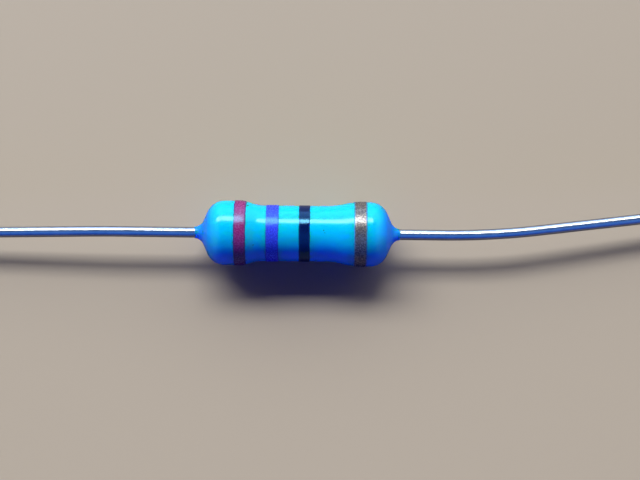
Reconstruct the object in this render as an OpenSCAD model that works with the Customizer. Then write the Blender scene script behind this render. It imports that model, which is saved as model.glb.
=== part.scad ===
// Axial film resistor: a ceramic rod with a spiral-cut film, pressed caps, welded wire leads,
// a dog-bone lacquer coating and four painted bands.
// Millimetres. The origin is the centre of the coated body, on its axis.
// +X runs along the body from the first band to the last, +Z is up.

/* [Ceramic core] */
// Diameter of the ceramic rod
core_d = 1.7; // [1.2:0.05:3]
// Length of the ceramic rod
core_l = 5.4; // [4.4:0.1:9]
// Chamfer on the rod's two edges
core_chamfer = 0.06; // [0.02:0.01:0.12]

/* [Resistive film] */
// Thickness of the film on the rod
film_t = 0.02; // [0.01:0.005:0.04]
// Turns of the spiral cut
cut_turns = 4; // [2:1:6]
// Width of the spiral cut
cut_w = 0.14; // [0.06:0.01:0.2]
// Uncut film left showing between a cap's mouth and the spiral cut
film_land = 0.25; // [0.1:0.05:0.5]

/* [End caps] */
// Wall of the drawn cap
cap_wall = 0.13; // [0.08:0.01:0.25]
// Thickness of the cap's closed end
cap_end_t = 0.2; // [0.12:0.01:0.35]
// Length of the cap along the rod, its closed end included
cap_l = 1.45; // [1:0.05:1.9]
// Outer radius where the wall turns into the closed end
cap_corner_r = 0.12; // [0.05:0.01:0.2]
// Chamfer round the cap's mouth
cap_mouth_chamfer = 0.04; // [0.01:0.01:0.06]

/* [Leads] */
// Diameter of the tinned wire
lead_d = 0.4; // [0.3:0.02:0.6]
// Reach of a lead from the cap's face to its cut end, along the body
lead_reach = 28.5; // [22:0.5:38]
// Diameter of the weld's upset collar
weld_d = 0.62; // [0.5:0.02:0.9]
// Thickness of the weld's collar at the cap
weld_t = 0.05; // [0.03:0.01:0.1]
// Length over which the collar tapers into the wire
weld_taper = 0.12; // [0.08:0.01:0.2]
// Distance from the left cap's face to the left lead's bend
left_bend_at = 4.4; // [3.6:0.1:8]
// Bend radius of the left lead
left_bend_r = 30; // [5:1:35]
// How far the left lead swings sideways, seen from above, in degrees
left_sweep = -0.8; // [-8:0.1:8]
// Distance from the right cap's face to the right lead's bend
right_bend_at = 4.3; // [3.6:0.1:8]
// Bend radius of the right lead
right_bend_r = 26; // [5:1:35]
// How far the right lead swings sideways, seen from above, in degrees
right_sweep = 7.5; // [-8:0.1:8]

/* [Coating] */
// Coating over the caps
coat_over_caps = 0.2; // [0.14:0.01:0.35]
// Coating over the film, at the waist
coat_over_film = 0.17; // [0.15:0.01:0.3]
// How far inside the cap's face the coating starts to round over
dome_setback = 0.2; // [0.1:0.01:0.4]
// Radius of the rounded shoulder
dome_r = 0.7; // [0.6:0.01:0.85]
// Steepest slope of the shoulder, in degrees
dome_slope = 66; // [55:1:72]
// Radius of the hollow curve that runs out along the lead
neck_r = 0.39; // [0.15:0.01:0.5]
// Thickness of the coating where it ends on the lead
neck_lip = 0.02; // [0.01:0.005:0.05]
// Length of the left swell, from the waist up to full diameter
left_swell_l = 0.9; // [0.6:0.05:1.1]
// How far the left swell starts inside the cap's mouth
left_swell_past = 0.2; // [0.15:0.05:0.4]
// Length of the right swell, from the waist up to full diameter
right_swell_l = 1.3; // [0.8:0.05:1.5]
// How far the right swell starts inside the cap's mouth
right_swell_past = 0.4; // [0.2:0.05:0.6]

/* [Bands] */
// Thickness of the band paint
paint_t = 0.015; // [0.01:0.005:0.03]
// Distance from the left cap's face to the middle of the first band
first_band_at = 0.79; // [0.5:0.01:1]
// Spacing of the first three bands
band_pitch = 1.19; // [0.9:0.01:1.3]
// Distance from the right cap's face to the middle of the last band
last_band_at = 0.56; // [0.4:0.01:0.8]
// Width of the red band
red_w = 0.44; // [0.3:0.01:0.6]
// Width of the violet band
violet_w = 0.48; // [0.3:0.01:0.6]
// Width of the black band
black_w = 0.41; // [0.3:0.01:0.6]
// Width of the gold band
gold_w = 0.49; // [0.3:0.01:0.6]

/* [Hidden] */
$fn = 96;
// Largest turn between two points of an arc in an outline, in degrees
arc_step = 5;
// Turn between two sections of the spiral cut, in degrees
cut_step = 12;
// How far a lead's straight runs reach into its bend, and how much thinner the wire is there
bend_overlap = 0.05;
bend_thinning = 0.001;

core_r = core_d / 2;
film_r = core_r + film_t;
cap_r = film_r + cap_wall;
lead_r = lead_d / 2;
waist_r = film_r + coat_over_film;
crown_r = cap_r + coat_over_caps;

// Places along the body, measured out from its centre
film_end_x = core_l / 2 - core_chamfer;
cap_face_x = core_l / 2 + cap_end_t;
cap_mouth_x = cap_face_x - cap_l;
cut_end_x = cap_mouth_x - film_land;
dome_x = cap_face_x - dome_setback;

// The body lies on the paint of its two swellings, and each lead dips to the same level.
rest_z = -(crown_r + paint_t);

red_x = -cap_face_x + first_band_at;
violet_x = red_x + band_pitch;
black_x = violet_x + band_pitch;
gold_x = cap_face_x - last_band_at;

// ---- Outlines, as [distance along the body, radius] ----

// Points of an arc about a centre, from one angle to another, ends included.
function arc(centre, r, from, to) =
    let (steps = ceil(abs(to - from) / arc_step))
    [for (i = [0:steps])
        let (a = from + (to - from) * i / steps)
        centre + r * [cos(a), sin(a)]];

function mirrored(outline) = [for (i = [len(outline) - 1:-1:0]) [-outline[i].x, outline[i].y]];

// The swell from the waist up to the crown: two equal arcs that meet halfway.
function swell(from_x, length) =
    let (rise = crown_r - waist_r,
         r = (length * length + rise * rise) / (4 * rise),
         half = asin(length / 2 / r))
    concat(arc([from_x, waist_r + r], r, -90, -90 + half),
           arc([from_x + length, crown_r - r], r, 90 + half, 90));

// The rounded shoulder, then a short straight slope, then the hollow curve along the lead, whose
// radius is no larger than the height that the shoulder leaves for it.
function shoulder() =
    let (tip_r = lead_r + neck_lip,
         slope_from = [dome_x, crown_r - dome_r] + dome_r * [sin(dome_slope), cos(dome_slope)],
         hollow_r = min(neck_r, (slope_from.y - tip_r) / (1 - cos(dome_slope))),
         slope_to_r = tip_r + hollow_r * (1 - cos(dome_slope)),
         slope_to_x = slope_from.x + (slope_from.y - slope_to_r) / tan(dome_slope),
         tip_x = slope_to_x + hollow_r * sin(dome_slope))
    concat(arc([dome_x, crown_r - dome_r], dome_r, 90, 90 - dome_slope),
           arc([tip_x, tip_r + hollow_r], hollow_r, 270 - dome_slope, 270));

// Half of the coating, from the waist out to where it ends on the lead.
function coat_half(swell_past, swell_l) =
    concat(swell(cap_mouth_x - swell_past, swell_l), shoulder());

coat_outline = concat(mirrored(coat_half(left_swell_past, left_swell_l)),
                      coat_half(right_swell_past, right_swell_l));

// Outline of a cap from its mouth to its face, measured out from the body's centre.
cap_outline = concat(
    [[cap_mouth_x, cap_r - cap_mouth_chamfer], [cap_mouth_x + cap_mouth_chamfer, cap_r]],
    arc([cap_face_x - cap_corner_r, cap_r - cap_corner_r], cap_corner_r, 90, 0));

// Outline of a lead's welded root, out to where it is plain wire.
root_outline = [
    [cap_face_x, weld_d / 2],
    [cap_face_x + weld_t, weld_d / 2],
    [cap_face_x + weld_t + weld_taper, lead_r]
];

// ---- Building blocks ----

// A solid turned about the X axis from an outline, closed onto the axis.
module turned(outline) {
    first = outline[0];
    last = outline[len(outline) - 1];
    turned_ring(concat([[first.x, 0]], outline, [[last.x, 0]]));
}

// A ring turned about the X axis from a closed outline.
module turned_ring(outline)
    rotate([0, 90, 0])
        rotate_extrude()
            polygon([for (p = outline) [p.y, p.x]]);

// A plain cylinder about the X axis.
module rod(from_x, to_x, r)
    translate([from_x, 0, 0])
        rotate([0, 90, 0])
            cylinder(h = to_x - from_x, r = r);

module tube(from_x, to_x, outer_r, inner_r)
    turned_ring([[from_x, inner_r], [from_x, outer_r], [to_x, outer_r], [to_x, inner_r]]);

module other_end()
    mirror([1, 0, 0])
        children();

// The cutter of the spiral cut: one square-ended thread wound round the rod, deeper than the film.
module spiral_cutter() {
    pitch = 2 * cut_end_x / cut_turns;
    rings = cut_turns * 360 / cut_step;
    depth = 2 * film_t;
    section = [
        [-cut_w / 2, core_r - depth], [cut_w / 2, core_r - depth],
        [cut_w / 2, film_r + depth], [-cut_w / 2, film_r + depth]
    ];
    points = [
        for (i = [0:rings])
            let (turn = i * cut_step, middle_x = -cut_end_x + pitch * turn / 360)
            for (corner = section)
                [middle_x + corner.x, corner.y * sin(turn), corner.y * cos(turn)]
    ];
    sides = [
        for (i = [0:rings - 1], k = [0:3])
            [4 * i + k, 4 * i + (k + 1) % 4, 4 * i + 4 + (k + 1) % 4, 4 * i + 4 + k]
    ];
    polyhedron(points, concat([[3, 2, 1, 0]], sides, [[for (k = [0:3]) 4 * rings + k]]));
}

module cap() {
    color("gainsboro")
        difference() {
            turned(cap_outline);
            rod(cap_mouth_x - 1, core_l / 2, film_r);
        }
}

// A lead of the right-hand end. The wire leaves the cap along the axis, turns through one bend
// and runs straight to its cut end, which just reaches the level that the body lies on.
module lead(bend_at, bend_r, sweep) {
    run_x = lead_reach - bend_at;
    side_slope = tan(sweep);
    dip_slope = (rest_z + lead_r) / run_x;
    bend = atan(norm([side_slope, dip_slope]));
    roll = atan2(dip_slope, side_slope);
    setback = bend_r * tan(bend / 2);
    color("silver") {
        turned(concat(root_outline, [[cap_face_x + bend_at - setback + bend_overlap, lead_r]]));
        translate([cap_face_x + bend_at - setback, 0, 0])
            rotate([roll, 0, 0]) {
                translate([0, bend_r, 0])
                    rotate([0, 0, -90])
                        rotate_extrude(angle = bend)
                            translate([bend_r, 0])
                                circle(r = lead_r - bend_thinning);
                translate([bend_r * sin(bend), bend_r * (1 - cos(bend)), 0])
                    rotate([0, 0, bend])
                        rod(-bend_overlap, run_x / cos(bend) - setback, lead_r);
            }
    }
}

// A ring of paint that follows the coating under it.
module band(middle_x, width) {
    from_x = middle_x - width / 2;
    to_x = middle_x + width / 2;
    seat = concat(
        [[from_x, lookup(from_x, coat_outline)]],
        [for (p = coat_outline) if (p.x > from_x && p.x < to_x) p],
        [[to_x, lookup(to_x, coat_outline)]]);
    turned_ring(concat(seat, [for (i = [len(seat) - 1:-1:0]) seat[i] + [0, paint_t]]));
}

// ---- Pieces ----

module ceramic_core()
    color("white")
        turned([
            [-core_l / 2, core_r - core_chamfer],
            [-film_end_x, core_r],
            [film_end_x, core_r],
            [core_l / 2, core_r - core_chamfer]
        ]);

module resistive_film()
    color("dimgray")
        difference() {
            tube(-film_end_x, film_end_x, film_r, core_r);
            spiral_cutter();
        }

module left_cap()
    other_end()
        cap();

module right_cap()
    cap();

module left_lead()
    other_end()
        lead(left_bend_at, left_bend_r, left_sweep);

module right_lead()
    lead(right_bend_at, right_bend_r, right_sweep);

module coating()
    color("deepskyblue")
        difference() {
            turned(coat_outline);
            rod(-cap_mouth_x - cap_l / 2, cap_mouth_x + cap_l / 2, film_r);
            rod(-cap_face_x - 3, cap_face_x + 3, lead_r);
            for (end = [0, 1])
                mirror([end, 0, 0]) {
                    turned(cap_outline);
                    turned(root_outline);
                }
        }

module red_band()
    color("firebrick")
        band(red_x, red_w);

module violet_band()
    color("mediumslateblue")
        band(violet_x, violet_w);

module black_band()
    color("black")
        band(black_x, black_w);

module gold_band()
    color("goldenrod")
        band(gold_x, gold_w);

ceramic_core();
resistive_film();
left_cap();
right_cap();
left_lead();
right_lead();
coating();
red_band();
violet_band();
black_band();
gold_band();
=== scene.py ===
# %% [markdown]
# # An axial film resistor, from its frame to its finish
# The part is a small film resistor as it comes off the tape: a ceramic rod with a spiral-cut film,
# two pressed steel caps, two tinned copper leads, a lacquer coating that dips to a waist between the
# caps, and four painted bands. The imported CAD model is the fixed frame. The ceramic, the film and the
# caps are seen only when the part is opened, so their CAD solids stay as they are and get materials.
# Everything that shows is made again here as a finer surface of the same size, in metres.

import bpy
import numpy as np
from mathutils import Matrix, Vector


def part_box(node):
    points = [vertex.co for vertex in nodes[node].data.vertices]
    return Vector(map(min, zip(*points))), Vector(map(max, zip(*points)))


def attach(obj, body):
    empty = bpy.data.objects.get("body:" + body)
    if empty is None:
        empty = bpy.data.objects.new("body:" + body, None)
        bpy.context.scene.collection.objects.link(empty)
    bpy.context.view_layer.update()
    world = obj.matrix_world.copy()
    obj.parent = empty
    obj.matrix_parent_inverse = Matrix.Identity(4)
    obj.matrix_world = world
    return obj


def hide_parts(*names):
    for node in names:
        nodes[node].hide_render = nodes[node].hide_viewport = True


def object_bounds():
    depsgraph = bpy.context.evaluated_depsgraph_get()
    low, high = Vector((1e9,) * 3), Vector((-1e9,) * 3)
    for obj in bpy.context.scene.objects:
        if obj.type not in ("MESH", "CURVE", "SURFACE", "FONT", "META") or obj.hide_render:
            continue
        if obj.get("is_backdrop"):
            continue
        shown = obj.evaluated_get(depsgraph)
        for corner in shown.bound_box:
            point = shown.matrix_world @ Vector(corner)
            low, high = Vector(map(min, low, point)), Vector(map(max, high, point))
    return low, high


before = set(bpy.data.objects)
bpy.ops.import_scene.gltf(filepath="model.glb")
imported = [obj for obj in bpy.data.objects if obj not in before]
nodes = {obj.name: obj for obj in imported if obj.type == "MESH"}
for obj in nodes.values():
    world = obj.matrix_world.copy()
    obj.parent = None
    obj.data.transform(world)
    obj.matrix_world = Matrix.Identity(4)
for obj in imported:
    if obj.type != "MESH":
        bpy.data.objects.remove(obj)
cad_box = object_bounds()
print("CAD nodes:", sorted(nodes))

# %% [markdown]
# ## Sizes
# Whatever can be read from a node's box is read from it, so it follows the CAD model. The few radii
# and lengths that a box doesn't give, such as the rounding of the shoulder, are named where they are
# first needed, with the same values as in the part's source.

# %% Sizes from the frame
MM = 0.001


def low(node):
    """The lowest corner of a node's box."""
    return np.array(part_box(node)[0])


def high(node):
    """The highest corner of a node's box."""
    return np.array(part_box(node)[1])


film_r = high("resistive_film")[2]
cap_r = high("right_cap")[2]
cap_face_x = high("right_cap")[0]
cap_mouth_x = low("right_cap")[0]
crown_r = high("coating")[2]
paint_t = high("red_band")[2] - crown_r
rest_z = -(crown_r + paint_t)
print(f"crown {2e3 * crown_r:.3f} mm across, caps {2e3 * cap_r:.3f}, film {2e3 * film_r:.3f}")
print(f"cap faces {2e3 * cap_face_x:.3f} mm apart, paint {1e3 * paint_t:.3f} mm, floor {1e3 * rest_z:.3f} mm")

# %% [markdown]
# ## The camera
# The part is 63 mm long, but it is looked at from about 65 mm away, almost straight down and a
# little from the front, so the view holds the body and a quarter to a third of each lead. A long lens
# keeps the perspective mild. The camera could be dragged into place by hand, but its turn, height and
# distance say plainly where it stands.

# %% The camera
TURN = np.radians(0.69)
RISE = np.radians(80)
DISTANCE = 65 * MM
VIEW_WIDTH = 23.8 * MM
SENSOR_WIDTH = 36
AIM_RIGHT = 0.844 * MM
AIM_UP = -0.24 * MM

back = Vector((np.sin(TURN) * np.cos(RISE), -np.cos(TURN) * np.cos(RISE), np.sin(RISE)))
right = Vector((np.cos(TURN), np.sin(TURN), 0))
up = back.cross(right)
camera_data = bpy.data.cameras.new("camera")
camera_data.sensor_width = SENSOR_WIDTH
camera_data.lens = SENSOR_WIDTH * DISTANCE / VIEW_WIDTH
camera_data.clip_start = 1 * MM
camera_data.clip_end = 10
camera = bpy.data.objects.new("camera", camera_data)
camera.location = AIM_RIGHT * right + AIM_UP * up + DISTANCE * back
camera.rotation_mode = "QUATERNION"
camera.rotation_quaternion = back.to_track_quat("Z", "Y")
bpy.context.scene.collection.objects.link(camera)
bpy.context.scene.camera = camera
print(f"lens {camera_data.lens:.1f} mm")

# %% [markdown]
# ## Shader maths
# A node tree is easier to read as a formula. `Value` wraps one output of a node, and Python's own
# operators on it add Math nodes, in both orders, so `1 - mask` works as well as `mask - 1`. `Finish`
# is the tree itself, with one method that makes every other node: it takes the node's type, then
# what is set on the node, then what its sockets get.


# %% Shader values
class Value:
    """One output of a node. Arithmetic on it adds Math nodes to the same tree."""

    def __init__(self, finish, socket):
        self.finish, self.socket = finish, socket

    def math(self, operation, *values):
        """A Math node on these values, in their order."""
        return self.finish.add("ShaderNodeMath", {"operation": operation}, dict(enumerate(values)))

    def __add__(self, other):
        return self.math("ADD", self, other)

    def __radd__(self, other):
        return self.math("ADD", other, self)

    def __sub__(self, other):
        return self.math("SUBTRACT", self, other)

    def __rsub__(self, other):
        return self.math("SUBTRACT", other, self)

    def __mul__(self, other):
        return self.math("MULTIPLY", self, other)

    def __rmul__(self, other):
        return self.math("MULTIPLY", other, self)

    def __abs__(self):
        return self.math("ABSOLUTE", self)


# %% Node trees
class Finish:
    """A node tree that is being written."""

    def __init__(self, tree):
        self.tree = tree
        tree.nodes.clear()

    def add(self, kind, settings=None, inputs=None, out=0):
        """Adds a node, sets what is set on it, feeds its sockets and gives back one of its outputs."""
        node = self.tree.nodes.new(kind)
        for name, value in (settings or {}).items():
            if name == "stops":
                self.place_stops(node.color_ramp, value)
            else:
                setattr(node, name, value)
        for name, value in (inputs or {}).items():
            if isinstance(value, Value):
                self.tree.links.new(value.socket, node.inputs[name])
            else:
                node.inputs[name].default_value = value
        return Value(self, node.outputs[out]) if node.outputs else None

    @staticmethod
    def place_stops(ramp, stops):
        """Gives a colour ramp its stops, each a position from 0 to 1 and a colour."""
        while len(ramp.elements) < len(stops):
            ramp.elements.new(1)
        for element, (position, colour) in zip(ramp.elements, stops):
            element.position = position
            element.color = (*colour, 1)

    def scaled(self, at, factor):
        """A place or direction, made larger by one number."""
        return self.add("ShaderNodeVectorMath", {"operation": "SCALE"}, {0: at, "Scale": factor})

    def place(self):
        """Where a point is on the object, in millimetres."""
        return self.scaled(self.add("ShaderNodeTexCoord", out="Object"), 1 / MM)

    def noise(self, at, scale, detail=2.0, roughness=0.5):
        """Cloudy noise from 0 to 1 and mostly near 0.5, with this many lumps to a unit."""
        sockets = {"Vector": at, "Scale": scale, "Detail": detail, "Roughness": roughness}
        return self.add("ShaderNodeTexNoise", inputs=sockets)

    def step(self, value, start, end):
        """0 at start, 1 at end and smooth between. Start may be the larger one."""
        sockets = {"Value": value, "From Min": start, "From Max": end}
        return self.add("ShaderNodeMapRange", {"interpolation_type": "SMOOTHSTEP"}, sockets)

    def mix(self, share, first, second):
        """A colour that goes from first to second."""
        pair = [c if isinstance(c, Value) else (*c, 1) for c in (first, second)]
        return self.add("ShaderNodeMix", {"data_type": "RGBA"}, {0: share, 6: pair[0], 7: pair[1]}, out=2)

    def bump(self, height, depth, under=None):
        """A normal from a height of 0 to 1 that stands for this depth in metres."""
        sockets = {"Height": height, "Distance": depth}
        if under is not None:
            sockets["Normal"] = under
        return self.add("ShaderNodeBump", inputs=sockets)


# %% A material from a function
def new_finish(name, write, settings=None):
    """A material whose nodes the function writes. The function gives back the sockets of the surface."""
    material = bpy.data.materials.new(name)
    material.use_nodes = True
    finish = Finish(material.node_tree)
    surface = finish.add("ShaderNodeBsdfPrincipled", settings, write(finish))
    finish.add("ShaderNodeOutputMaterial", inputs={"Surface": surface})
    print(f"{name}: {len(material.node_tree.nodes)} nodes")
    return material


# %% [markdown]
# ## The softbox
# One long softbox hangs behind the part, at a height that draws the narrow highlight along the top of
# the lacquer and the leads. A sun lamp would give too hard a shadow, and a round lamp a spot instead of
# a line. SOFTBOX_BRIGHT is what a mirror would show of it, and its power follows from its area.

# %% The softbox
SOFTBOX_RISE = np.radians(132)
SOFTBOX_LEFT = np.radians(13)
SOFTBOX_AWAY = 1.2
SOFTBOX_HALF_DEPTH = np.radians(7.5)
SOFTBOX_HALF_LENGTH = np.radians(28)
SOFTBOX_BRIGHT = 13.0


def around(rise):
    """The direction at an angle in the YZ plane, which starts at the front and goes up over the top."""
    return np.array([0, -np.cos(rise), np.sin(rise)])


softbox_length = 2 * SOFTBOX_AWAY * np.tan(SOFTBOX_HALF_LENGTH)
softbox_depth = 2 * SOFTBOX_AWAY * np.tan(SOFTBOX_HALF_DEPTH)
softbox_data = bpy.data.lights.new("softbox", "AREA")
softbox_data.shape = "RECTANGLE"
softbox_data.size = softbox_length
softbox_data.size_y = softbox_depth
softbox_data.energy = SOFTBOX_BRIGHT * np.pi * softbox_length * softbox_depth
softbox_data.color = (0.95, 0.98, 1.05)
softbox = bpy.data.objects.new("softbox", softbox_data)
rightwards = np.array([1.0, 0, 0])
outwards = np.cos(SOFTBOX_LEFT) * around(SOFTBOX_RISE) - np.sin(SOFTBOX_LEFT) * rightwards
lengthways = np.cos(SOFTBOX_LEFT) * rightwards + np.sin(SOFTBOX_LEFT) * around(SOFTBOX_RISE)
softbox.location = SOFTBOX_AWAY * outwards
axes = Matrix([lengthways, np.cross(outwards, lengthways), outwards])
softbox.rotation_euler = axes.transposed().to_euler()
bpy.context.scene.collection.objects.link(softbox)
print(f"softbox {softbox_length:.2f} by {softbox_depth:.2f} m, {softbox_data.energy:.1f} W")

# %% [markdown]
# ## The sky
# A wide pale sky below the softbox softens the shadow that falls to the front, and a little blue comes
# in low from the front, onto the shaded side of the lacquer. Gloss sees a sky of its own, because a
# bare wire shows nothing but what it mirrors: pale behind, blue in front, and plain grey towards both
# ends, so that the wire looks like tin from the side too. A picture of a room could light the part as
# well, but a few plain colours round one axis are easier to change.

# %% Colours of the sky
# They run round the YZ plane, from the front horizon (0) over the top (0.5) to the back horizon (1).
# SKY lights the scene, MIRRORED_SKY is what gloss sees, and BACKDROP is what the camera would see.
# SIDE_SKY replaces the mirrored sky where a direction's share along X goes from SIDE_START to SIDE_FULL.
SKY = [
    (0.0, (0.02, 0.05, 1.1)),
    (0.10, (0.02, 0.05, 1.1)),
    (0.22, (0.03, 0.02, 0.04)),
    (0.70, (0.03, 0.02, 0.02)),
    (0.78, (2.2, 2.3, 2.5)),
    (0.90, (2.2, 2.3, 2.5)),
    (0.94, (1.0, 1.2, 1.6)),
    (1.0, (1.0, 1.2, 1.6)),
]
MIRRORED_SKY = [
    (0.0, (0.01, 0.05, 0.25)),
    (0.14, (0.02, 0.08, 0.48)),
    (0.26, (0.04, 0.19, 0.76)),
    (0.42, (0.06, 0.22, 0.72)),
    (0.52, (0.03, 0.10, 0.28)),
    (0.66, (0.04, 0.08, 0.20)),
    (0.76, (0.7, 0.9, 1.3)),
    (0.90, (0.8, 1.1, 1.6)),
    (1.0, (1.0, 1.4, 2.2)),
]
SIDE_SKY = (0.42, 0.44, 0.48)
SIDE_START, SIDE_FULL = 0.40, 0.65
BACKDROP = (0.50, 0.47, 0.43)
print(f"{len(SKY)} colours light the part, and gloss mirrors {len(MIRRORED_SKY) + 1}")

# %% The sky's nodes
world = bpy.data.worlds.new("sky")
world.use_nodes = True
bpy.context.scene.world = world
sky = Finish(world.node_tree)
direction = sky.add("ShaderNodeTexCoord", out="Generated")
split = [sky.add("ShaderNodeSeparateXYZ", inputs={0: direction}, out=k) for k in range(3)]
along_x, along_y, along_z = split
turned = along_z.math("ARCTAN2", abs(along_z), -1 * along_y)
rise_share = turned * (1 / np.pi)
lit = sky.add("ShaderNodeValToRGB", {"stops": SKY}, {0: rise_share})
mirrored = sky.add("ShaderNodeValToRGB", {"stops": MIRRORED_SKY}, {0: rise_share})
mirrored = sky.mix(sky.step(abs(along_x), SIDE_START, SIDE_FULL), mirrored, SIDE_SKY)
by_camera, by_gloss = [sky.add("ShaderNodeLightPath", out=f"Is {ray} Ray") for ray in ("Camera", "Glossy")]
sky_colour = sky.mix(by_camera, sky.mix(by_gloss, lit, mirrored), BACKDROP)
sky_light = sky.add("ShaderNodeBackground", inputs={"Color": sky_colour, "Strength": 1.0})
sky.add("ShaderNodeOutputWorld", inputs={"Surface": sky_light})
print(f"sky: {len(world.node_tree.nodes)} nodes")

# %% [markdown]
# ## The floor
# The part lies on a plain pale sheet that is large enough to fill every view, level with the lowest
# point of the paint. A floor throws light back up, and a pale one would wash out the part's shaded
# side. So it is pale where the camera sees it, much darker in a reflection, and darkest for the light
# that it throws back up.

# %% The floor
FLOOR_HALF = 2.5


def floor_finish(f):
    """Pale where the camera sees it, less so in a reflection, dark for the light it throws back up."""
    cloud = f.noise(f.place(), 0.02, detail=3)
    pale = f.mix(cloud, (0.43, 0.36, 0.26), (0.47, 0.395, 0.29))
    rays = ("Camera", "Transmission", "Glossy")
    seen, through, mirrored = [f.add("ShaderNodeLightPath", out=f"Is {ray} Ray") for ray in rays]
    colour = f.mix(seen + through + 0.2 * mirrored, (0.06, 0.045, 0.05), pale)
    return {"Base Color": colour, "Roughness": 0.5, "Specular IOR Level": 0.4}


floor_mesh = bpy.data.meshes.new("floor")
corner_signs = np.array([(-1, -1), (1, -1), (1, 1), (-1, 1)])
floor_corners = np.column_stack([corner_signs * FLOOR_HALF, np.full(4, rest_z)])
floor_mesh.from_pydata(floor_corners, [], [(0, 1, 2, 3)])
floor_mesh.materials.append(new_finish("pale_floor", floor_finish))
floor = bpy.data.objects.new("floor", floor_mesh)
bpy.context.scene.collection.objects.link(floor)
floor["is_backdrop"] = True

scene = bpy.context.scene
scene.view_settings.view_transform = "Standard"

# %% [markdown]
# ## The lacquer's outline
# The lacquer is a turned form: an outline carried round the axis. The outline is two swellings over
# the caps with a waist between them, a rounded shoulder at each end, and a hollow curve that runs out
# along the lead. A drawn curve with a Screw modifier could make it, but the bands need the radius at
# any place on the body. So the outline is worked out from arcs, as in the part's source, and then
# evened out so that its points lie the same distance apart.

# %% Sizes of the outline
lead_r = 0.2 * MM
waist_r = film_r + 0.17 * MM
dome_x = cap_face_x - 0.2 * MM
dome_r = 0.7 * MM
dome_slope = np.radians(66)
neck_r = 0.39 * MM
neck_lip = 0.02 * MM
LEFT_SWELL = {"past": 0.2 * MM, "length": 0.9 * MM}
RIGHT_SWELL = {"past": 0.4 * MM, "length": 1.3 * MM}
COAT_ROWS = 330
print(f"waist {2e3 * waist_r:.2f} mm across, crown {2e3 * crown_r:.2f} mm")


# %% Arcs and swellings
def arc(centre, radius, start, end, count=40):
    """Centre plus radius times the cosine and sine of an even run of angles."""
    angle = np.linspace(start, end, count)
    return np.array(centre) + radius * np.column_stack([np.cos(angle), np.sin(angle)])


def swell(start_x, length):
    """Two equal arcs that meet halfway: the first leaves the waist level, the second arrives level."""
    rise = crown_r - waist_r
    radius = (length**2 + rise**2) / (4 * rise)
    half = np.arcsin(length / 2 / radius)
    foot = arc((start_x, waist_r + radius), radius, -np.pi / 2, -np.pi / 2 + half)
    head = arc((start_x + length, crown_r - radius), radius, np.pi / 2 + half, np.pi / 2)
    return np.concatenate([foot, head[1:]])


# %% Shoulder and neck
def shoulder():
    """A quarter round down to the steepest slope, a short straight, and a hollow arc onto the lead."""
    tip_r = lead_r + neck_lip
    slope_x = dome_x + dome_r * np.sin(dome_slope)
    slope_r = crown_r - dome_r + dome_r * np.cos(dome_slope)
    hollow_r = tip_r + neck_r * (1 - np.cos(dome_slope))
    tip_x = slope_x + (slope_r - hollow_r) / np.tan(dome_slope) + neck_r * np.sin(dome_slope)
    dome = arc((dome_x, crown_r - dome_r), dome_r, np.pi / 2, np.pi / 2 - dome_slope)
    hollow = arc((tip_x, tip_r + neck_r), neck_r, 3 * np.pi / 2 - dome_slope, 3 * np.pi / 2)
    return np.concatenate([dome, hollow])


# %% The whole outline
def even(points, count):
    """The same line with its points an even distance apart, found along its running length."""
    run = np.concatenate([[0], np.cumsum(np.hypot(*np.diff(points, axis=0).T))])
    at = np.linspace(0, run[-1], count)
    return np.column_stack([np.interp(at, run, points[:, k]) for k in range(points.shape[1])])


def half_outline(past, length):
    """A swelling that starts this far inside the cap's mouth, and then the shoulder."""
    return np.concatenate([swell(cap_mouth_x - past, length), shoulder()])


left_half = half_outline(**LEFT_SWELL)[::-1] * (-1, 1)
outline = even(np.concatenate([left_half, half_outline(**RIGHT_SWELL)]), COAT_ROWS)
neck_x = outline[-1, 0]
print(f"lacquer from {1e3 * outline[0, 0]:.2f} to {1e3 * neck_x:.2f} mm, {len(outline)} points")

# %% [markdown]
# ## Meshes from grids
# Every surface below is a grid of points: rows along the piece, columns round it. `wrapped_faces`
# joins neighbours into four-sided faces and closes the grid onto itself. A ring of triangles round a
# middle point closes an end. `make_piece` turns the arrays into an object, and checks which way the
# faces look: the volume that they enclose is positive only when they look out.


# %% Grids to meshes
def wrapped_faces(rows, columns, wrap_rows):
    """The four corners of each cell. The columns always close, and the rows do where they are asked to."""
    row = np.arange(rows if wrap_rows else rows - 1)[:, None]
    column = np.arange(columns)[None, :]
    next_row, next_column = (row + 1) % rows, (column + 1) % columns
    corners = [row * columns + column, next_row * columns + column]
    corners += [next_row * columns + next_column, row * columns + next_column]
    return np.stack(corners, axis=-1).reshape(-1, 4)


print(f"a grid of 3 by 4 points that closes both ways has {len(wrapped_faces(3, 4, True))} faces")


# %% Meshes to pieces
def enclosed(points, faces):
    """Six times the signed volume, as the sum over the faces of a corner's triple products."""
    total = 0.0
    for face_set in faces:
        first = points[face_set[:, 0]]
        for k in range(1, face_set.shape[1] - 1):
            across = np.cross(points[face_set[:, k]], points[face_set[:, k + 1]])
            total += (first * across).sum()
    return total


def make_piece(name, points, faces, material, node, crease=30):
    """Makes a closed mesh with its faces looking out, which stands for a CAD node of the one body."""
    volume = enclosed(points, faces) / 6
    if volume < 0:
        faces = [face_set[:, ::-1] for face_set in faces]
    mesh = bpy.data.meshes.new(name)
    mesh.from_pydata(points, [], [face for face_set in faces for face in face_set.tolist()])
    mesh.shade_smooth()
    mesh.set_sharp_from_angle(angle=np.radians(crease))
    mesh.materials.append(material)
    piece = bpy.data.objects.new(name, mesh)
    bpy.context.scene.collection.objects.link(piece)
    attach(piece, "root")
    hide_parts(node)
    print(f"{name}: {len(mesh.polygons)} faces, {abs(volume) / MM**3:.4f} cubic mm")
    return piece


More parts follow.
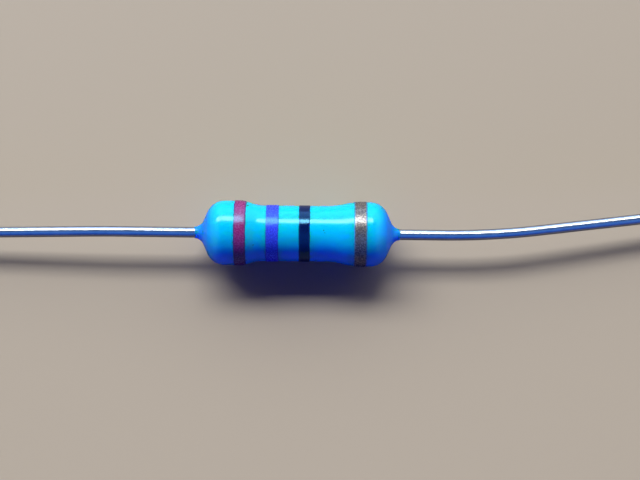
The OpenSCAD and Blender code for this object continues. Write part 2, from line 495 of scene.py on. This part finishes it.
# %% [markdown]
# ## The lacquer's surface
# Lacquer that was rolled on and baked is never quite true. Slow waves of a few thousandths of a
# millimetre run over it, always inwards, so that the part stays within its size. A Displace modifier
# could make them, but a formula gives the bands the same ground to lie on. At each end the lacquer
# creeps along the lead and stops in an uneven line.

# %% Unevenness
WAVE_DEPTH = 0.007 * MM
WAVES = [(1.7, 1, 0.4), (2.9, 2, 2.1), (4.3, 3, 4.4), (6.1, 1, 5.2), (3.7, 4, 1.3)]


def unevenness(x, angle):
    """From 0 to 1: the mean of five waves, each a sine of so much x plus so many turns round the axis."""
    waves = [np.sin(rate * x / MM + turns * angle + start) for rate, turns, start in WAVES]
    return 0.5 + 0.5 * sum(waves) / len(WAVES)


def coat_radius(x, angle):
    """The lacquer's radius at a place along and round the body: its outline less the unevenness."""
    return np.interp(x, outline[:, 0], outline[:, 1]) - WAVE_DEPTH * unevenness(x, angle)


def wrapped_round(x, radius, angle):
    """Points at x and at a radius round the axis, at an angle that starts at the front and rises."""
    x, radius, angle = np.broadcast_arrays(x, radius, angle)
    return np.stack([x, -radius * np.cos(angle), radius * np.sin(angle)], axis=-1)


print(f"the lacquer dips by up to {1e3 * WAVE_DEPTH:.3f} mm")

# %% The lacquer's ends
CREEP = 0.09 * MM


def creep(x, angle):
    """How far the lacquer falls short, by three sines of the angle: nothing at the shoulder and most at
    the very end."""
    share = np.clip((np.abs(x) - (neck_x - neck_r)) / neck_r, 0, 1) ** 2
    uneven = np.sin(2 * angle + 0.6 + np.sign(x)) + np.sin(5 * angle + 2.2 * np.sign(x))
    uneven = uneven + 0.6 * np.sin(9 * angle + 0.5)
    return -np.sign(x) * CREEP * share * (0.5 + uneven / (2 * 2.6))


# %% Inside of the coating
cap_corner_r = 0.12 * MM
cap_mouth_chamfer = 0.04 * MM
weld_r = 0.31 * MM
weld_t = 0.05 * MM
weld_taper = 0.12 * MM


def inner_outline():
    """The inside of the coating's right half: the lead, its weld, the cap and the film, inwards."""
    corner_middle = (cap_face_x - cap_corner_r, cap_r - cap_corner_r)
    corner = arc(corner_middle, cap_corner_r, 0, np.pi / 2, 8)
    lead_part = [(neck_x, lead_r), (cap_face_x + weld_t + weld_taper, lead_r)]
    weld_part = [(cap_face_x + weld_t, weld_r), (cap_face_x, weld_r)]
    mouth = [(cap_mouth_x + cap_mouth_chamfer, cap_r), (cap_mouth_x, cap_r - cap_mouth_chamfer)]
    return np.concatenate([lead_part, weld_part, corner, mouth, [(cap_mouth_x, film_r)]])


inside = inner_outline()
inside = np.concatenate([inside, inside[::-1] * (-1, 1)])
print(f"the coating's inside has {len(inside)} points")

# %% The coating's surface
COAT_COLUMNS = 192
coat_angle = np.linspace(0, 2 * np.pi, COAT_COLUMNS, endpoint=False)[None, :]
outer_x = outline[:, :1] + creep(outline[:, :1], coat_angle)
outer = wrapped_round(outer_x, coat_radius(outline[:, :1], coat_angle), coat_angle)
inner_x = inside[:, :1] + np.where(np.abs(inside[:, :1]) == neck_x, creep(inside[:, :1], coat_angle), 0)
inner = wrapped_round(inner_x, inside[:, 1:], coat_angle)
coat_points = np.concatenate([outer, inner])
coat_faces = wrapped_faces(len(coat_points), COAT_COLUMNS, wrap_rows=True)
print(f"coating: {len(coat_points)} rings of {COAT_COLUMNS} points")

# %% [markdown]
# ## The lacquer's finish
# The lacquer is a sky-blue enamel over white ceramic: glossy, slightly wavy like the skin of an
# orange, and a little translucent, so blue light creeps round into the shaded side while green is
# soaked up. Subsurface scattering with a long reach for blue does that. A clear coat could give the
# highlight, but this is a single lacquer, so its own gloss does. Towards the leads the lacquer thins
# and deepens in colour. Four specks of dust are baked in.

# %% Specks of dust
# Each speck's place along the body in mm, its angle round it in degrees and its size in mm.
SPECKS = [(-1.83, 141, 0.035), (-1.60, 56, 0.02), (0.98, 87, 0.02), (1.02, 82, 0.015)]


def speck_mask(f, at):
    """1 within a speck's size of its middle, 0 a little farther out, with a rim that noise makes uneven."""
    rim = f.noise(at, 40, detail=1)
    masks = []
    for x, rise, size in SPECKS:
        angle = np.radians(rise)
        middle = wrapped_round(x, coat_radius(x * MM, angle) / MM, angle)
        gap = f.add("ShaderNodeVectorMath", {"operation": "DISTANCE"}, {0: at, 1: tuple(middle)}, out=1)
        masks.append(f.step(gap + 0.03 * rim, size + 0.03, size))
    return sum(masks[1:], masks[0])


print(f"{len(SPECKS)} specks")

# %% Finish of the lacquer
THIN_START, THIN_FULL = 2.9, 3.5


def lacquer_finish(f):
    """Sky blue that drifts slowly, deepens from THIN_START to THIN_FULL mm along the body, and is almost
    black in the specks. Slow lumps and a fine grain shape the gloss."""
    at = f.place()
    cloud = f.noise(at, 0.8, detail=3)
    colour = f.mix(cloud, (0.0, 0.52, 1.0), (0.0, 0.59, 1.0))
    reach = abs(f.add("ShaderNodeSeparateXYZ", inputs={0: at}))
    colour = f.mix(f.step(reach, THIN_START, THIN_FULL), colour, (0.0, 0.26, 1.0))
    colour = f.mix(speck_mask(f, at), colour, (0.01, 0.02, 0.05))
    peel = f.noise(at, 1.6, detail=2)
    grain = f.noise(at, 16, detail=2)
    normal = f.bump(grain, 0.0008 * MM, under=f.bump(peel, 0.010 * MM))
    return {
        "Base Color": colour, "Roughness": 0.17, "Normal": normal,
        "Specular IOR Level": 0.5, "Specular Tint": (0.58, 0.85, 1.0, 1),
        "Subsurface Weight": 1.0, "Subsurface Radius": (0.03, 0.03, 1.0), "Subsurface Scale": 1.8 * MM,
    }


lacquer = new_finish("blue_lacquer", lacquer_finish, {"subsurface_method": "BURLEY"})
make_piece("coating_lacquer", coat_points.reshape(-1, 3), [coat_faces], lacquer, "coating")

# %% [markdown]
# ## The bands
# The bands are rolled on with a printing wheel. The paint is about fifteen thousandths of a millimetre
# thick, follows every swelling under it, thins to nothing at its edges, and its edges wander a little.
# A band could be no more than a colour of the lacquer, but real paint stands proud and catches the
# light. So it is a closed ring: its outer side is the lacquer's surface plus the thickness of the
# paint, and its inner side lies just under that surface.

# %% Bands as rings
BAND_COLUMNS = 256
BAND_ROWS = 30
PAINT_SUNK = 0.004 * MM


def ring_of_paint(start_x, end_x, wander, seed):
    """A closed section carried round: out over the paint from edge to edge and back under it. Each edge
    wanders by the mean of five sines of the angle, and the paint is thinner the nearer it is to an edge."""
    angle = np.linspace(0, 2 * np.pi, BAND_COLUMNS, endpoint=False)[None, :]
    across = np.sin(np.linspace(-np.pi / 2, np.pi / 2, BAND_ROWS))[:, None]
    left = sum(np.sin(k * angle + seed * k) for k in (2, 5, 9, 14, 23)) / 5
    right = sum(np.sin(k * angle + 2.3 * seed * k) for k in (3, 4, 8, 13, 27)) / 5
    x = (start_x + end_x) / 2 + across * (end_x - start_x) / 2
    x = x + wander * np.where(across < 0, left, right) * across**2
    ground = coat_radius(x, angle)
    thickness = paint_t * np.sqrt(1 - np.abs(across) ** 8)
    over = wrapped_round(x, ground + thickness, angle)
    under = wrapped_round(x, ground - PAINT_SUNK, angle)[::-1]
    return np.concatenate([over, under])


def band(name, node, material, wander, seed):
    """The ring of paint between the two ends of the band's CAD node."""
    start_x, end_x = low(node)[0], high(node)[0]
    points = ring_of_paint(start_x, end_x, wander, seed)
    faces = wrapped_faces(len(points), BAND_COLUMNS, wrap_rows=True)
    make_piece(name, points.reshape(-1, 3), [faces], material, node, crease=60)


print(f"a band has {2 * BAND_ROWS} rings of {BAND_COLUMNS} points")


# %% [markdown]
# ## Band paints
# Three of the paints are opaque enamels full of coarse pigment, so their gloss is grainy: fine noise
# drives both their roughness and their bump. Each darkens towards blue where it thins at its edges.
# The fourth is a lacquer with metal flakes. An even metal would look like foil. So the flakes are cells,
# and each cell's shade sets its colour, how metallic it is and how rough: some catch the light while
# their neighbours stay dark.


# %% Finishes of the paints
def edge_share(f, at, node):
    """0 over most of a band and 1 at its two edges, by the distance from its middle and a little noise."""
    start_x, end_x = low(node)[0] / MM, high(node)[0] / MM
    middle, half = (start_x + end_x) / 2, (end_x - start_x) / 2
    x = f.add("ShaderNodeSeparateXYZ", inputs={0: at})
    ragged = 0.05 * f.noise(at, 18, detail=2)
    return f.step(abs(x - middle) + ragged, half - 0.04, half + 0.03)


def enamel_finish(node, dark, light, thin, gloss, grain):
    """An opaque paint with coarse pigment, between its dark and light colour, and thin at its edges.
    Gloss is its lowest roughness, and grain how much rougher and bumpier the pigment makes it."""

    def write(f):
        """One fine noise mixes the colours and raises the bumps, and another makes the gloss grainy."""
        at = f.place()
        pigment = f.noise(at, 20, detail=3, roughness=0.7)
        colour = f.mix(f.step(pigment, 0.35, 0.65), dark, light)
        colour = f.mix(edge_share(f, at, node), colour, thin)
        normal = f.bump(pigment, 0.032 * grain * MM, under=f.bump(f.noise(at, 2.5), 0.006 * MM))
        rough = gloss + grain * f.step(f.noise(at, 20, detail=1), 0.35, 0.65)
        return {
            "Base Color": colour, "Roughness": rough, "Normal": normal,
            "Specular IOR Level": 1.0, "Specular Tint": (0.22, 0.72, 1.0, 1),
        }

    return write


# %% Finish of the flakes
def flake_finish(f):
    """Metal flakes in lacquer: each cell's shade sets its colour, its metal and its roughness."""
    at = f.place()
    flakes = {"Vector": at, "Scale": 26.0}
    shade = f.add("ShaderNodeTexVoronoi", {"feature": "F1"}, flakes, out=1)
    shade = f.add("ShaderNodeSeparateXYZ", inputs={0: shade})
    edge = edge_share(f, at, "gold_band")
    metal = (0.1 + 0.8 * shade) * (1 - edge)
    colour = f.mix(metal, (0.01, 0.015, 0.04), (0.43, 0.37, 0.30))
    colour = f.mix(edge, colour, (0.02, 0.36, 0.75))
    normal = f.bump(f.noise(at, 24, detail=2, roughness=0.7), 0.006 * MM)
    return {"Base Color": colour, "Metallic": metal, "Roughness": 0.18 + 0.14 * shade, "Normal": normal}


# %% Colours of the enamels
ENAMELS = {
    "red": {
        "dark": (0.21, 0.014, 0.11), "light": (0.33, 0.031, 0.18), "thin": (0.03, 0.03, 0.20),
        "gloss": 0.10, "grain": 0.24,
    },
    "violet": {
        "dark": (0.028, 0.045, 0.70), "light": (0.046, 0.075, 0.90), "thin": (0.02, 0.10, 0.60),
        "gloss": 0.10, "grain": 0.24,
    },
    "black": {
        "dark": (0.001, 0.002, 0.04), "light": (0.001, 0.006, 0.08), "thin": (0.005, 0.03, 0.16),
        "gloss": 0.06, "grain": 0.08,
    },
}
print("enamels:", ", ".join(ENAMELS))

# %% The four bands
# How far the edges of each band wander, in mm, and a number that gives each its own line.
EDGES = {"red": (0.018, 1.0), "violet": (0.012, 2.1), "black": (0.012, 3.3), "gold": (0.012, 4.6)}
for hue, (wander, seed) in EDGES.items():
    write = flake_finish if hue == "gold" else enamel_finish(f"{hue}_band", **ENAMELS[hue])
    paint = new_finish(f"{hue}_paint", write)
    band(f"{hue}_band_paint", f"{hue}_band", paint, wander * MM, seed)

# %% [markdown]
# ## The leads
# A lead is drawn copper wire with a skin of tin, butt-welded to the cap. Taping and handling leave it
# with one gentle bend, which also brings its far end down to the surface that the part lies on. It is
# a circle carried along a line: a straight run, an arc in one tilted plane, and a straight run to the
# cut end. Drawing and straightening leave long shallow flats that wander along the wire. A curve with a
# round bevel could draw the wire, but its section couldn't change on the way.

# %% The line of a lead
lead_reach = 28.5 * MM
LEFT_BEND = {"bend_at": 4.4 * MM, "bend_r": 30 * MM, "sweep": np.radians(-0.8)}
RIGHT_BEND = {"bend_at": 4.3 * MM, "bend_r": 26 * MM, "sweep": np.radians(7.5)}


def lead_line(bend_at, bend_r, sweep):
    """The bend's start, angle and plane, and the whole length, from where the lead has to end."""
    run_x = lead_reach - bend_at
    slopes = np.array([np.tan(sweep), (rest_z + lead_r) / run_x])
    bend = np.arctan(np.hypot(*slopes))
    sideways = np.array([0, *slopes]) / np.hypot(*slopes)
    setback = bend_r * np.tan(bend / 2)
    start = bend_at - setback
    length = start + bend_r * bend + run_x / np.cos(bend) - setback
    return start, bend, sideways, length


def along_lead(run, start, bend, sideways, bend_r):
    """Places and directions at running lengths: level, then turning with the arc, then straight."""
    turn = np.clip((run - start) / bend_r, 0, bend)
    past = np.maximum(run - start - bend_r * bend, 0)
    x = cap_face_x + np.minimum(run, start) + bend_r * np.sin(turn) + past * np.cos(bend)
    side = bend_r * (1 - np.cos(turn)) + past * np.sin(bend)
    ahead = np.array([1.0, 0, 0])
    place = x[:, None] * ahead + side[:, None] * sideways
    across = -np.sin(turn)[:, None] * ahead + np.cos(turn)[:, None] * sideways
    return place, across, np.cross(ahead, sideways)


for bend_values in (LEFT_BEND, RIGHT_BEND):
    bend, length = lead_line(**bend_values)[1::2]
    print(f"a lead of {1e3 * length:.2f} mm, bent by {np.degrees(bend):.2f} degrees")

# %% The wire's section
FLAT_DEPTH = 0.006 * MM


def wire_radius(run, angle, seed):
    """The wire less its shallow flats: two, three and five lobes round it, which are sines of the angle
    and drift and fade along the length."""
    mm = run / MM
    drift = 0.9 * np.sin(0.55 * mm + seed) + 0.5 * np.sin(1.7 * mm + 2 * seed)
    lobes = np.sin(2 * angle + drift) * (1 + np.sin(0.8 * mm + 3 * seed))
    lobes = lobes + np.sin(3 * angle - 1.3 * drift + seed) * (1 + np.sin(1.3 * mm + seed))
    lobes = lobes + 0.7 * np.sin(5 * angle + 2 * drift)
    return lead_r - FLAT_DEPTH * (0.5 + lobes / (2 * 4.7))


print(f"the wire is {2e3 * lead_r:.2f} mm thick, with flats of up to {1e3 * FLAT_DEPTH:.3f} mm")

# %% The wire's surface
LEAD_COLUMNS = 48
LEAD_STEP = 0.04 * MM
PINCH_LENGTH = 0.22 * MM
PINCH_DEPTH = 0.72
PINCH_RINGS = 10


def lead_piece(name, node, bend_values, side, seed, material):
    """Rings along the line, from the weld's two at the cap to the pinched end that the cutters leave.
    The attribute `straight` is where each point would be on an unbent wire, measured from its cut end."""
    start, bend, sideways, length = lead_line(**bend_values)
    root = np.array([0, weld_t, weld_t + weld_taper])
    run = np.concatenate([root, np.arange(root[-1] + LEAD_STEP, length - PINCH_LENGTH, LEAD_STEP)])
    run = np.concatenate([run, np.linspace(length - PINCH_LENGTH, length, PINCH_RINGS)])
    angle = np.linspace(0, 2 * np.pi, LEAD_COLUMNS, endpoint=False)
    radius = wire_radius(run[:, None], angle[None, :], seed)
    radius[:2] = weld_r
    place, across, upright = along_lead(run, start, bend, sideways, bend_values["bend_r"])
    pinch = np.clip((run - length + PINCH_LENGTH) / PINCH_LENGTH, 0, 1)[:, None]
    pinched = 1 - PINCH_DEPTH * pinch**1.5
    sideways_part = (radius * np.cos(angle))[..., None] * across[:, None, :]
    upright_part = (pinched * radius * np.sin(angle))[..., None] * upright
    rings = place[:, None, :] + sideways_part + upright_part
    points = np.concatenate([rings.reshape(-1, 3), place[:1], place[-1:]]) * (side, 1, 1)
    first = np.arange(LEAD_COLUMNS)
    last = first + (len(run) - 1) * LEAD_COLUMNS
    weld_end = np.column_stack([np.roll(first, -1), first, np.full(LEAD_COLUMNS, len(points) - 2)])
    cut_end = np.column_stack([last, np.roll(last, -1), np.full(LEAD_COLUMNS, len(points) - 1)])
    walls = wrapped_faces(len(run), LEAD_COLUMNS, wrap_rows=False)[:, ::-1]
    unbent = np.broadcast_arrays(run[:, None] - length, radius * np.cos(angle), radius * np.sin(angle))
    straight = np.concatenate([np.stack(unbent, axis=-1).reshape(-1, 3), [(-length, 0, 0), (0, 0, 0)]])
    piece = make_piece(name, points, [walls, weld_end, cut_end], material, node)
    attribute = piece.data.attributes.new("straight", "FLOAT_VECTOR", "POINT")
    attribute.data.foreach_set("vector", (straight / MM).astype(np.float32).ravel())
    print(f"{name}: {len(run)} rings of {LEAD_COLUMNS} points")


# %% [markdown]
# ## Tin
# The tin skin is bright but not a mirror. It carries hair-fine lines from the drawing die, all along
# the wire, and a soft mottle. The lines follow the wire through its bend, so the pattern reads the
# `straight` attribute: where each point would be if the wire had never been bent, measured from the
# cut end. Object coordinates would let the lines run out of the side of the wire. At the cut end the
# cutters lay the copper bare, inside a thin rim of tin.


# %% Finish of the leads
def tin_finish(f):
    """Noise drawn out fourfold along the wire makes the lines, and coarser noise the mottle. Copper shows
    within the last hundredths of a millimetre, up to 0.18 mm from the axis."""
    straight = f.add("ShaderNodeAttribute", {"attribute_name": "straight"}, out=1)
    drawn = f.add("ShaderNodeVectorMath", {"operation": "MULTIPLY"}, {0: straight, 1: (0.25, 1, 1)})
    lines = f.noise(drawn, 28, detail=3, roughness=0.65)
    mottle = f.noise(straight, 3.5, detail=3)
    spots = f.noise(straight, 20, detail=2)
    colour = f.mix(mottle, (0.50, 0.53, 0.57), (0.64, 0.67, 0.71))
    colour = f.mix(f.step(spots, 0.66, 0.74), colour, (0.38, 0.38, 0.40))
    to_cut = f.add("ShaderNodeSeparateXYZ", inputs={0: straight})
    off_axis = f.add("ShaderNodeVectorMath", {"operation": "MULTIPLY"}, {0: straight, 1: (0, 1, 1)})
    off_axis = f.add("ShaderNodeVectorMath", {"operation": "LENGTH"}, {0: off_axis}, out=1)
    bare = f.step(to_cut, -0.02, -0.005) * f.step(off_axis + 0.03 * lines, 0.19, 0.18)
    colour = f.mix(bare, colour, (0.60, 0.27, 0.17))
    normal = f.bump(lines, 0.004 * MM, under=f.bump(mottle, 0.006 * MM))
    return {"Base Color": colour, "Metallic": 1.0, "Roughness": 0.17 + 0.12 * mottle, "Normal": normal}


tin = new_finish("tinned_wire", tin_finish)
lead_piece("left_lead_wire", "left_lead", LEFT_BEND, -1, 0.7, tin)
lead_piece("right_lead_wire", "right_lead", RIGHT_BEND, 1, 2.9, tin)

# %% [markdown]
# ## Inside
# The ceramic rod, the film and the two caps could be made again like the rest, but they are right as
# the CAD model has them, so they keep its meshes. The rod is fired ceramic, chalky and finely pitted.
# The film is a dark metal skin. The caps are drawn from tinned steel, with rings from the punch.


# %% Finishes of the inner pieces
def ceramic_finish(f):
    """Off-white, with painted shade in its pits, which fine noise makes: the colour is darker where the bump
    is low.
    """
    at = f.place()
    pits = f.noise(at, 14, detail=4, roughness=0.7)
    # the colour follows the bump's height, so its darker tone is painted shade in the pits
    colour = f.mix(pits, (0.72, 0.70, 0.66), (0.86, 0.85, 0.82))
    return {"Base Color": colour, "Roughness": 0.75, "Normal": f.bump(pits, 0.008 * MM)}


def film_finish(f):
    """Dark metal, lighter and rougher where its grain is."""
    at = f.place()
    grain = f.noise(at, 12, detail=4)
    colour = f.mix(grain, (0.10, 0.095, 0.09), (0.20, 0.19, 0.18))
    normal = f.bump(grain, 0.002 * MM)
    return {"Base Color": colour, "Metallic": 0.9, "Roughness": 0.3 + 0.2 * grain, "Normal": normal}


def cap_finish(f):
    """Noise that is fine along the axis and drawn out across it, so that it makes rings."""
    at = f.place()
    stretched = f.add("ShaderNodeVectorMath", {"operation": "MULTIPLY"}, {0: at, 1: (1, 0.15, 0.15)})
    rings = f.noise(stretched, 20, detail=3)
    colour = f.mix(rings, (0.58, 0.57, 0.54), (0.72, 0.71, 0.68))
    normal = f.bump(rings, 0.003 * MM)
    return {"Base Color": colour, "Metallic": 1.0, "Roughness": 0.25 + 0.2 * rings, "Normal": normal}


# %% The inner pieces
INNER_FINISHES = {
    "ceramic_core": ("fired_ceramic", ceramic_finish), "resistive_film": ("metal_film", film_finish),
    "left_cap": ("drawn_steel", cap_finish), "right_cap": ("drawn_steel", cap_finish),
}
for node, (name, write) in INNER_FINISHES.items():
    material = bpy.data.materials.get(name) or new_finish(name, write)
    nodes[node].data.materials.clear()
    nodes[node].data.materials.append(material)
    print(f"{node}: {material.name}")

# %% [markdown]
# ## Measure and finish
# The finished pieces have to fill the same box as the CAD model. That could be judged by eye, but two
# boxes of numbers are surer, so both are gathered side by side and printed.

# %% The two boxes
made_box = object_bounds()
boxes = {"cad": [list(corner) for corner in cad_box], "visual": [list(corner) for corner in made_box]}
for name, (lowest, highest) in boxes.items():
    print(name, [f"{1e3 * (b - a):.3f}" for a, b in zip(lowest, highest)], "mm")
